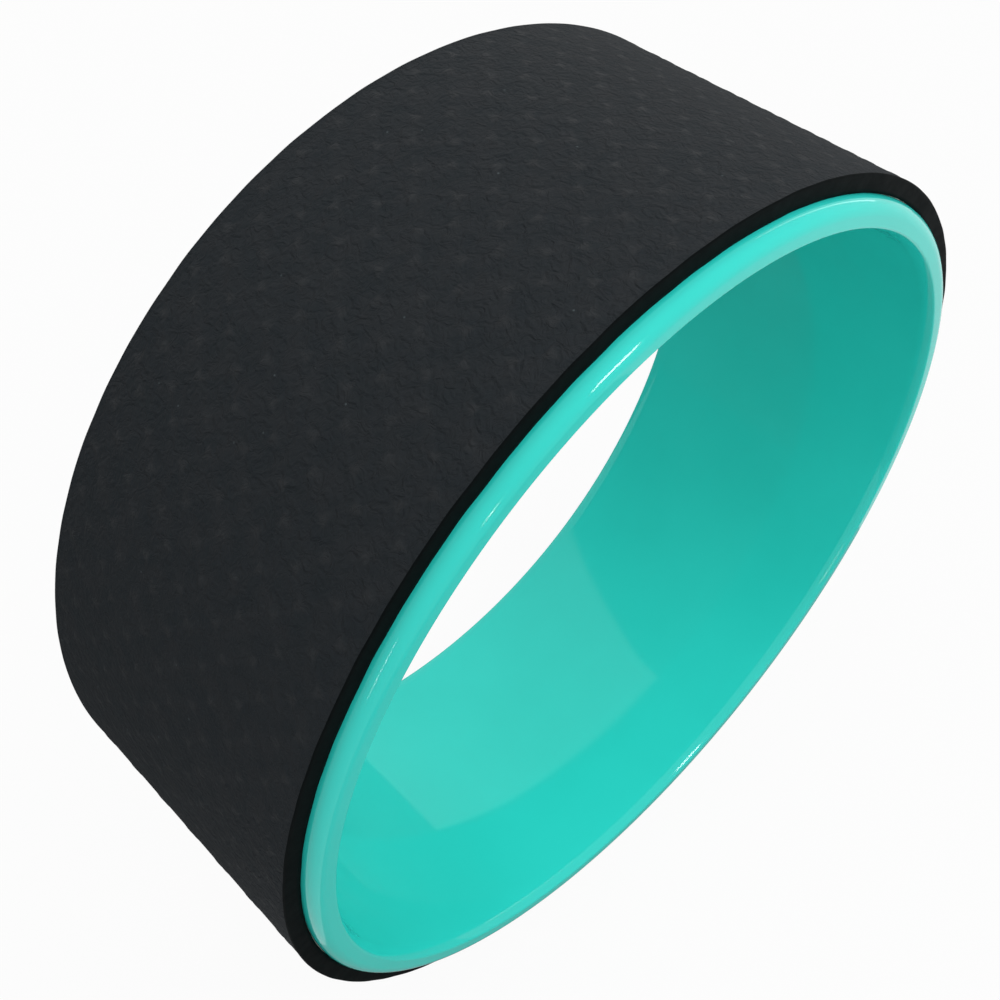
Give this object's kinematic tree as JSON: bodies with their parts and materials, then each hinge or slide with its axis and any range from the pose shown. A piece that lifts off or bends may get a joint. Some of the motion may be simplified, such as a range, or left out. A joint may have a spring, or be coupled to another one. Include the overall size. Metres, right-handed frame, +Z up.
{
  "type": "yoga wheel",
  "caption": "Open plastic hoop with rounded lips and a foam pad wrapped round the outside, rolled under the back or foot to support yoga stretches.",
  "frame": {"origin": "the wheel's centre, on its axis and midway between the two lips", "axes": "+Y along the wheel's axis, +Z up with the wheel standing on its tread, +X the way it rolls"},
  "size_m": [0.33, 0.1264, 0.33],
  "materials": {
    "hoop_plastic": "gloss",
    "adhesive": "matte",
    "pad_foam": "matte"
  },
  "bodies": {
    "root": {"hoop": "hoop_plastic", "adhesive_film": "adhesive", "tread_pad": "pad_foam"}
  },
  "joints": []
}
